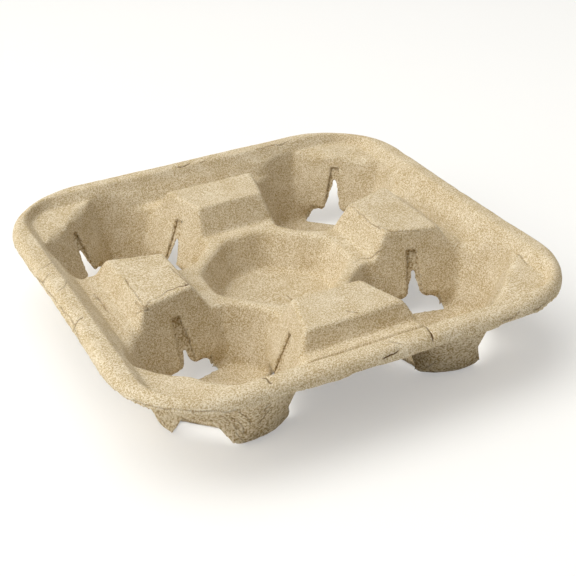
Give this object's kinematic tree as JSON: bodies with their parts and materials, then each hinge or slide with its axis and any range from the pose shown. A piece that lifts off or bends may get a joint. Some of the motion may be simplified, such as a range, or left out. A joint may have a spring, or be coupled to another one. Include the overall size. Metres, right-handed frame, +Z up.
{
  "type": "cup carrier tray",
  "caption": "Square moulded paper fibre tray with tapered cup wells round a centre dish, for carrying drinks.",
  "frame": {"origin": "on the floor, under the middle of the tray", "axes": "+Z up, X and Y along the sides of the square tray"},
  "size_m": [0.213, 0.213, 0.043],
  "materials": {
    "moulded_fibre": "matte moulded paper fibre, natural brown"
  },
  "bodies": {
    "root": {"cup_carrier": "moulded_fibre"}
  },
  "joints": []
}
